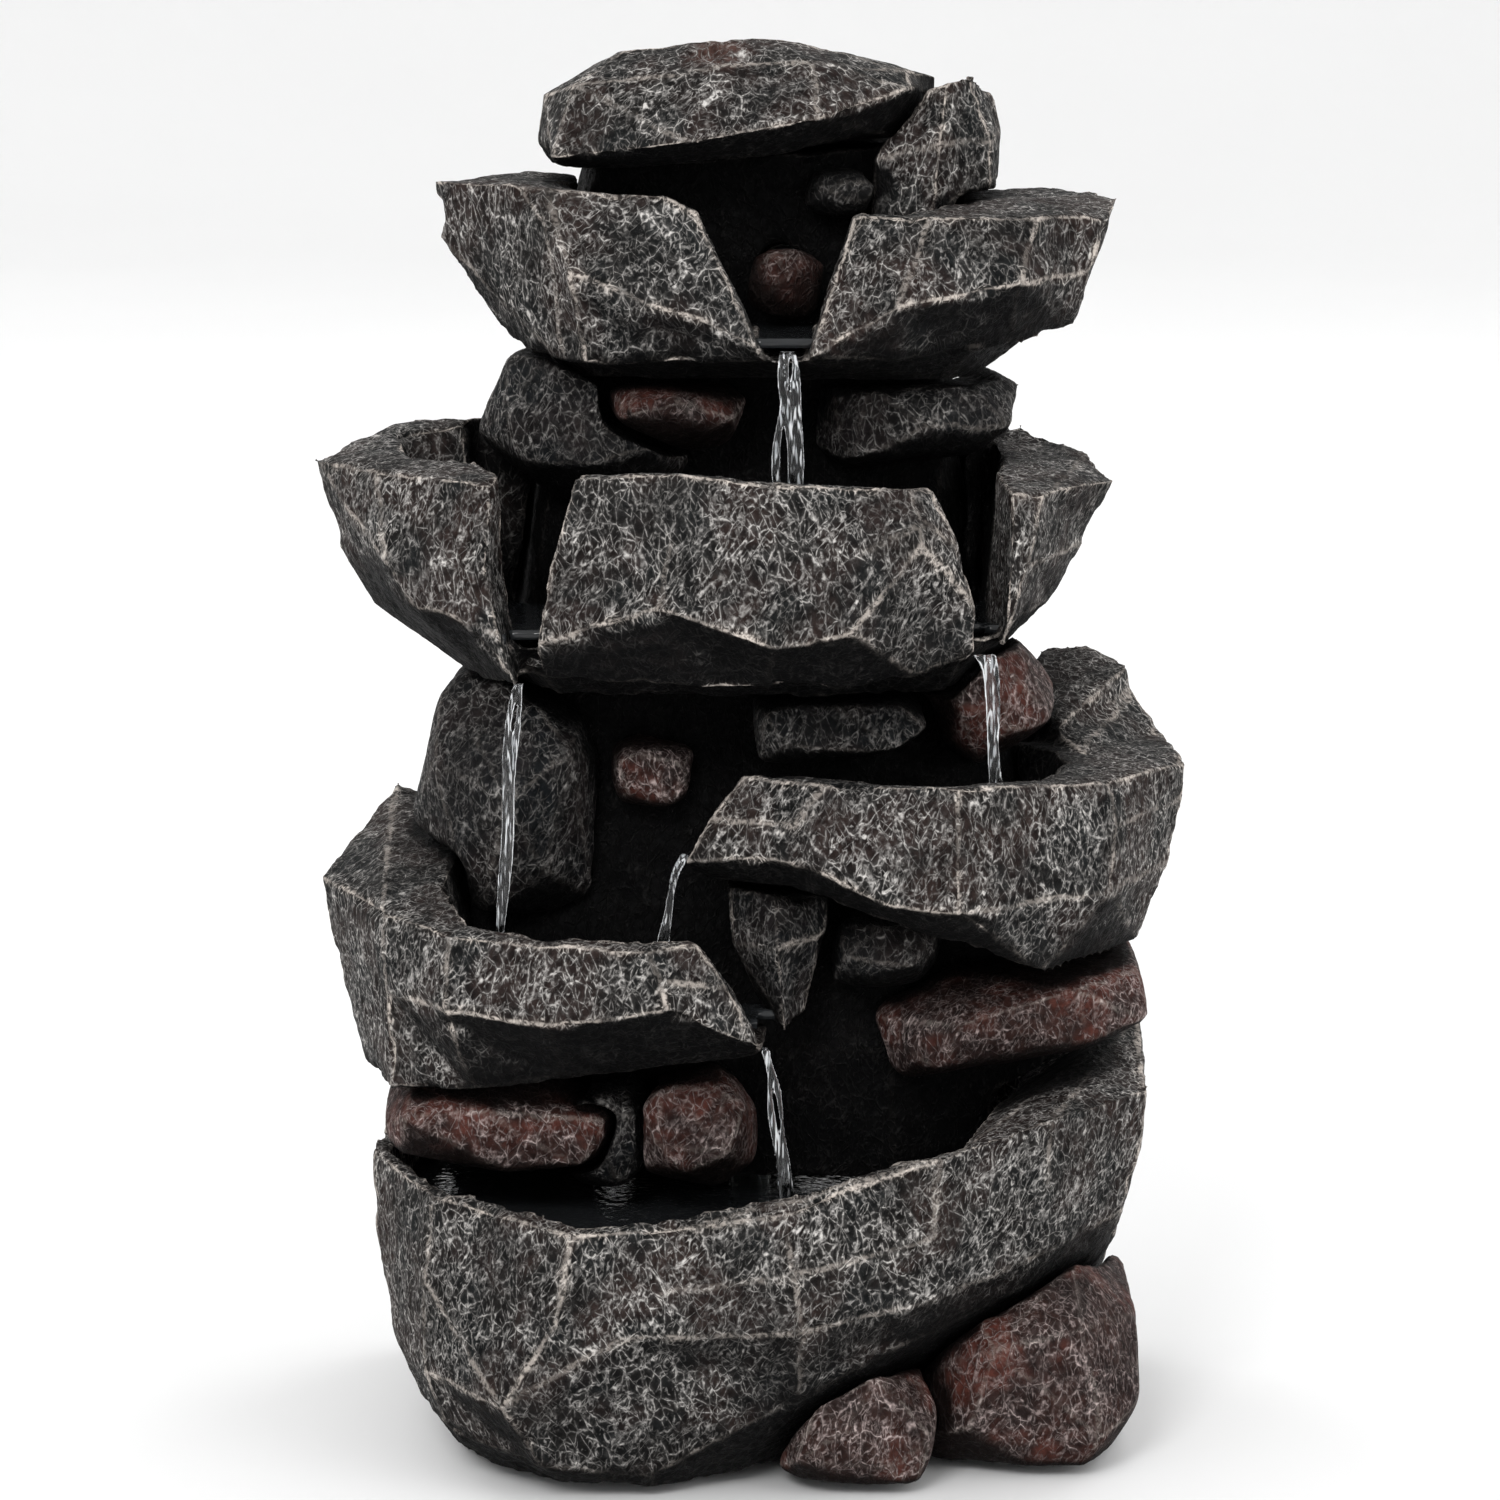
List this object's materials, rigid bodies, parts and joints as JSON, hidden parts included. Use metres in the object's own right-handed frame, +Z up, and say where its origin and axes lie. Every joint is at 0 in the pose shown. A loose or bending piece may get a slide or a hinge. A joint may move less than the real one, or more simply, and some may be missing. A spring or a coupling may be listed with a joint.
{
  "type": "tabletop water fountain",
  "caption": "Tabletop water fountain: stacked rock-look bowls that spill one into the next, round a hollow column with a pump in the lowest basin.",
  "frame": {"origin": "on the ground, under the middle of the object's outer box", "axes": "+Z up, -Y towards the front where the water falls, +X to the right as seen from the front"},
  "size_m": [0.248, 0.19, 0.4],
  "materials": {
    "grey_stone": "cast polyresin, painted charcoal and dry-brushed light grey",
    "dark_stone": "cast polyresin, painted near black and lightly dry-brushed",
    "red_stone": "cast polyresin, painted dark red-brown and dry-brushed light grey",
    "black_plastic": "moulded black plastic",
    "white_plastic": "moulded off-white plastic",
    "black_rubber": "moulded rubber",
    "core_steel": "dark laminated steel and ferrite",
    "copper": "enamelled copper wire",
    "ceramic": "ground ceramic",
    "clear_vinyl": "clear vinyl tube",
    "water": "clear water"
  },
  "bodies": {
    "fountain": {"lower_basin": "grey_stone", "left_basin": "grey_stone", "right_basin": "grey_stone", "middle_bowl": "grey_stone", "top_bowl": "grey_stone", "cap_rock": "grey_stone", "cap_side_rock": "grey_stone", "right_backing_rock": "grey_stone", "left_backing_rock": "grey_stone", "column_shell": "dark_stone", "lower_pointed_rock": "dark_stone", "neck_rock": "dark_stone", "upper_right_slab": "dark_stone", "upper_left_boulder": "dark_stone", "mid_left_boulder": "dark_stone", "mid_center_boulder": "dark_stone", "lower_center_boulder": "dark_stone", "lower_dark_rock": "dark_stone", "rear_lower_left_rock": "dark_stone", "rear_lower_right_rock": "dark_stone", "rear_upper_left_rock": "dark_stone", "rear_upper_right_rock": "dark_stone", "spout_rock": "red_stone", "upper_red_boulder": "red_stone", "mid_small_rock": "red_stone", "mid_red_boulder": "red_stone", "lower_right_slab": "red_stone", "lower_left_red_rock": "red_stone", "lower_center_red_rock": "red_stone", "foot_rock_right": "red_stone", "foot_rock_center": "red_stone", "foot_pad_1": "black_rubber", "foot_pad_2": "black_rubber", "foot_pad_3": "black_rubber", "foot_pad_4": "black_rubber", "pump_housing": "black_plastic", "stator_core": "core_steel", "stator_coil": "copper", "motor_end_cap": "black_plastic", "impeller_cover": "black_plastic", "front_bush": "ceramic", "rear_bush": "ceramic", "suction_cup_1": "black_rubber", "suction_cup_2": "black_rubber", "suction_cup_3": "black_rubber", "suction_cup_4": "black_rubber", "water_outlet": "black_plastic", "riser_hose": "clear_vinyl"},
    "rear_cover": {"rear_access_cover": "dark_stone", "cord_grommet": "black_rubber"},
    "rotor": {"rotor_shaft": "ceramic", "rotor_magnet": "core_steel", "impeller": "white_plastic"},
    "screen": {"inlet_screen": "black_plastic"},
    "dial": {"flow_dial": "white_plastic"}
  },
  "joints": [
    {"name": "rear_cover_pull", "type": "slide", "parent": "fountain", "child": "rear_cover", "axis": [0, 1, 0], "range_m": [0, 0.06]},
    {"name": "impeller_spin", "type": "hinge", "parent": "fountain", "child": "rotor", "pos_m": [0, 0.022, 0.036], "axis": [0, 1, 0], "continuous": true},
    {"name": "inlet_screen_pull", "type": "slide", "parent": "fountain", "child": "screen", "axis": [0, -1, 0], "range_m": [0, 0.02]},
    {"name": "flow_dial_turn", "type": "hinge", "parent": "screen", "child": "dial", "pos_m": [0, 0.01, 0.036], "axis": [0, 1, 0], "range_deg": [0, 90]}
  ]
}
